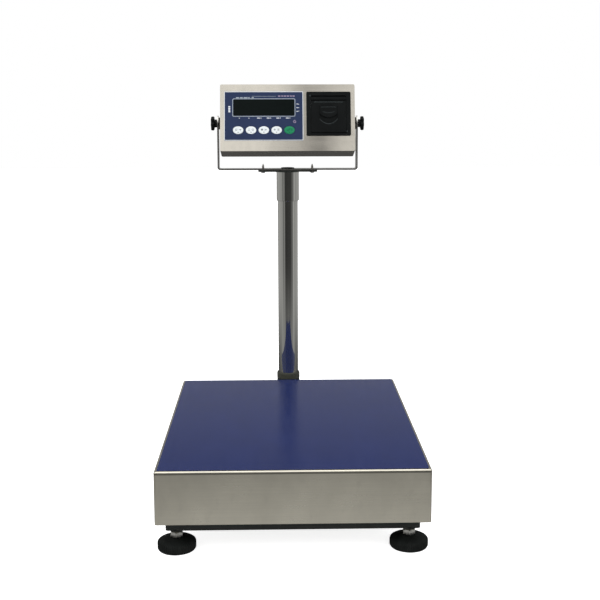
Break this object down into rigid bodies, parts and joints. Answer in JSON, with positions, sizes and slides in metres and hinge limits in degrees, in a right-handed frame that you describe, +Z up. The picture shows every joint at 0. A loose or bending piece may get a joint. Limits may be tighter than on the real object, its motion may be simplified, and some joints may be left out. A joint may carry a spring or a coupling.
{
  "type": "bench scale",
  "caption": "Bench platform scale: stainless pan on levelling feet, rear pole with a tilting printing indicator held by a yoke and star knobs.",
  "frame": {"origin": "middle of the whole scale's footprint, on the floor", "axes": "+Z up, the front (display and operator side) faces -Y, +X to the operator's right"},
  "size_m": [0.4, 0.5916, 0.6826],
  "materials": {
    "stainless": "brushed",
    "deck_film": "glossy film",
    "black_paint": "satin",
    "chrome": "polished",
    "zinc": "zinc plated",
    "rubber": "matte",
    "black_plastic": "matte",
    "aluminium": "milled",
    "panel_print": "printed film",
    "display_glass": "glossy",
    "key_white": "satin",
    "key_green": "satin",
    "circuit_board": "satin",
    "paper": "matte",
    "battery_case": "matte"
  },
  "bodies": {
    "root": {"base_frame": "black_paint", "load_cell": "aluminium", "top_frame": "black_paint", "cell_bolt_lower_1": "zinc", "cell_bolt_lower_2": "zinc", "cell_bolt_upper_1": "zinc", "cell_bolt_upper_2": "zinc", "platter_pad_1": "rubber", "platter_pad_2": "rubber", "platter_pad_3": "rubber", "platter_pad_4": "rubber", "pole_bracket": "black_paint", "pole": "chrome", "pole_collar": "black_plastic", "pole_bolt_1": "zinc", "pole_bolt_2": "zinc"},
    "platter": {"platter_pan": "stainless", "deck_film": "deck_film"},
    "swivel": {"head_sleeve": "chrome", "sleeve_screw": "zinc", "support_plate": "black_paint", "yoke": "stainless", "yoke_grommet": "rubber", "yoke_screw_1": "zinc", "yoke_screw_2": "zinc", "side_washer_1": "rubber", "side_washer_2": "rubber"},
    "indicator": {"front_housing": "stainless", "rear_cover": "stainless", "cover_screw_1": "zinc", "cover_screw_2": "zinc", "cover_screw_3": "zinc", "cover_screw_4": "zinc", "cell_cable_gland": "black_plastic", "key_panel": "panel_print", "display_window": "display_glass", "display_board": "circuit_board", "battery": "battery_case", "printer_frame": "black_plastic", "tear_bar": "black_plastic", "print_head": "aluminium"},
    "printer_door": {"printer_door": "black_plastic"},
    "printer_latch": {"printer_latch": "black_plastic"},
    "platen_roller": {"platen_roller": "rubber"},
    "paper_roll": {"paper_roll": "paper"},
    "knob_1": {"knob_1": "black_plastic"},
    "knob_2": {"knob_2": "black_plastic"},
    "key_1": {"key_1": "key_white"},
    "key_2": {"key_2": "key_white"},
    "key_3": {"key_3": "key_white"},
    "key_4": {"key_4": "key_white"},
    "key_5": {"key_5": "key_green"},
    "foot_pad_1": {"foot_pad_1": "rubber"},
    "foot_stud_1": {"foot_stud_1": "zinc"},
    "foot_pad_2": {"foot_pad_2": "rubber"},
    "foot_stud_2": {"foot_stud_2": "zinc"},
    "foot_pad_3": {"foot_pad_3": "rubber"},
    "foot_stud_3": {"foot_stud_3": "zinc"},
    "foot_pad_4": {"foot_pad_4": "rubber"},
    "foot_stud_4": {"foot_stud_4": "zinc"}
  },
  "joints": [
    {"name": "platter_lift", "type": "slide", "parent": "root", "child": "platter", "axis": [0, 0, 1], "range_m": [0, 0.1]},
    {"name": "foot_travel_1", "type": "slide", "parent": "root", "child": "foot_pad_1", "axis": [0, 0, 1], "range_m": [-0.0119, 0.0022]},
    {"name": "stud_turn_1", "type": "hinge", "parent": "foot_pad_1", "child": "foot_stud_1", "pos_m": [-0.171, -0.268, 0.023], "axis": [0, 0, 1], "range_deg": [-2880, 540]},
    {"name": "foot_travel_2", "type": "slide", "parent": "root", "child": "foot_pad_2", "axis": [0, 0, 1], "range_m": [-0.0119, 0.0022]},
    {"name": "stud_turn_2", "type": "hinge", "parent": "foot_pad_2", "child": "foot_stud_2", "pos_m": [0.171, -0.268, 0.023], "axis": [0, 0, 1], "range_deg": [-2880, 540]},
    {"name": "foot_travel_3", "type": "slide", "parent": "root", "child": "foot_pad_3", "axis": [0, 0, 1], "range_m": [-0.0119, 0.0022]},
    {"name": "stud_turn_3", "type": "hinge", "parent": "foot_pad_3", "child": "foot_stud_3", "pos_m": [0.171, 0.174, 0.023], "axis": [0, 0, 1], "range_deg": [-2880, 540]},
    {"name": "foot_travel_4", "type": "slide", "parent": "root", "child": "foot_pad_4", "axis": [0, 0, 1], "range_m": [-0.0119, 0.0022]},
    {"name": "stud_turn_4", "type": "hinge", "parent": "foot_pad_4", "child": "foot_stud_4", "pos_m": [-0.171, 0.174, 0.023], "axis": [0, 0, 1], "range_deg": [-2880, 540]},
    {"name": "head_swivel", "type": "hinge", "parent": "root", "child": "swivel", "pos_m": [0, 0.233, 0.5], "axis": [0, 0, 1], "range_deg": [-170, 170]},
    {"name": "indicator_tilt", "type": "hinge", "parent": "swivel", "child": "indicator", "pos_m": [0, 0.233, 0.611], "axis": [1, 0, 0], "range_deg": [-45, 30]},
    {"name": "knob_turn_1", "type": "hinge", "parent": "indicator", "child": "knob_1", "pos_m": [-0.137, 0.233, 0.611], "axis": [-1, 0, 0], "range_deg": [0, 540]},
    {"name": "knob_turn_2", "type": "hinge", "parent": "indicator", "child": "knob_2", "pos_m": [0.137, 0.233, 0.611], "axis": [1, 0, 0], "range_deg": [0, 540]},
    {"name": "key_press_1", "type": "slide", "parent": "indicator", "child": "key_1", "axis": [0, 0.9659, -0.2588], "range_m": [0, 0.0007], "stiffness_N_per_m": 800},
    {"name": "key_press_2", "type": "slide", "parent": "indicator", "child": "key_2", "axis": [0, 0.9659, -0.2588], "range_m": [0, 0.0007], "stiffness_N_per_m": 800},
    {"name": "key_press_3", "type": "slide", "parent": "indicator", "child": "key_3", "axis": [0, 0.9659, -0.2588], "range_m": [0, 0.0007], "stiffness_N_per_m": 800},
    {"name": "key_press_4", "type": "slide", "parent": "indicator", "child": "key_4", "axis": [0, 0.9659, -0.2588], "range_m": [0, 0.0007], "stiffness_N_per_m": 800},
    {"name": "key_press_5", "type": "slide", "parent": "indicator", "child": "key_5", "axis": [0, 0.9659, -0.2588], "range_m": [0, 0.0007], "stiffness_N_per_m": 800},
    {"name": "printer_door_swing", "type": "hinge", "parent": "indicator", "child": "printer_door", "pos_m": [0.0757, 0.20467, 0.5955], "axis": [1, 0, 0], "range_deg": [0, 80]},
    {"name": "printer_latch_pull", "type": "hinge", "parent": "printer_door", "child": "printer_latch", "pos_m": [0.0757, 0.21597, 0.64093], "axis": [-1, 0, 0], "range_deg": [0, 25], "stiffness_Nm_per_rad": 0.02},
    {"name": "platen_spin", "type": "hinge", "parent": "printer_door", "child": "platen_roller", "pos_m": [0.0757, 0.2275, 0.64457], "axis": [1, 0, 0], "continuous": true},
    {"name": "paper_spin", "type": "hinge", "parent": "indicator", "child": "paper_roll", "pos_m": [0.0757, 0.23139, 0.60729], "axis": [1, 0, 0], "continuous": true}
  ],
  "couplings": [
    {"joint": "stud_turn_1", "follows": "foot_travel_1", "rad_per_m": 4188.8},
    {"joint": "stud_turn_2", "follows": "foot_travel_2", "rad_per_m": 4188.8},
    {"joint": "stud_turn_3", "follows": "foot_travel_3", "rad_per_m": 4188.8},
    {"joint": "stud_turn_4", "follows": "foot_travel_4", "rad_per_m": 4188.8}
  ]
}
